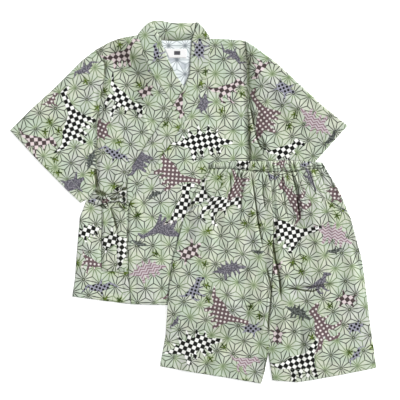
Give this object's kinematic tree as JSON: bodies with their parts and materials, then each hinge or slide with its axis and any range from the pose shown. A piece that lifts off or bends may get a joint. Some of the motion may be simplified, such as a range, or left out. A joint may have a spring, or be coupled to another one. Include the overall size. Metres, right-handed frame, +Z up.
{
  "type": "jinbei set",
  "caption": "Child's jinbei laid flat: wrapped short-sleeved jacket with a side tie, and gathered shorts on top, in printed sage green cotton.",
  "frame": {"origin": "middle of the laid set, on the surface that it rests on", "axes": "+X to the right of the laid garment (the wearer's left), +Y towards the collar, +Z up from the surface"},
  "size_m": [0.7135, 0.7076, 0.0099],
  "materials": {
    "jacket_cotton": "matt crinkled cotton, printed with a hemp-leaf star lattice and patterned animal shapes",
    "shorts_cotton": "matt crinkled cotton with the same print",
    "tie_cotton": "matt cotton with the same print",
    "label_tape": "smooth white woven tape with a plain dark block"
  },
  "bodies": {
    "root": {"jacket_back": "jacket_cotton", "front_right": "jacket_cotton", "front_left": "jacket_cotton", "collar_back": "jacket_cotton", "collar_right": "jacket_cotton", "collar_left": "jacket_cotton", "sleeve_right": "jacket_cotton", "sleeve_left": "jacket_cotton", "shorts_back_right": "shorts_cotton", "shorts_back_left": "shorts_cotton", "shorts_front_right": "shorts_cotton", "shorts_front_left": "shorts_cotton", "pocket_right": "shorts_cotton", "pocket_left": "shorts_cotton", "waistband_back": "shorts_cotton", "waistband_front": "shorts_cotton", "tie_side": "tie_cotton", "tie_front": "tie_cotton", "tie_tail_back": "tie_cotton", "tie_tail_front": "tie_cotton", "tie_knot": "tie_cotton", "neck_label": "label_tape"}
  },
  "joints": []
}
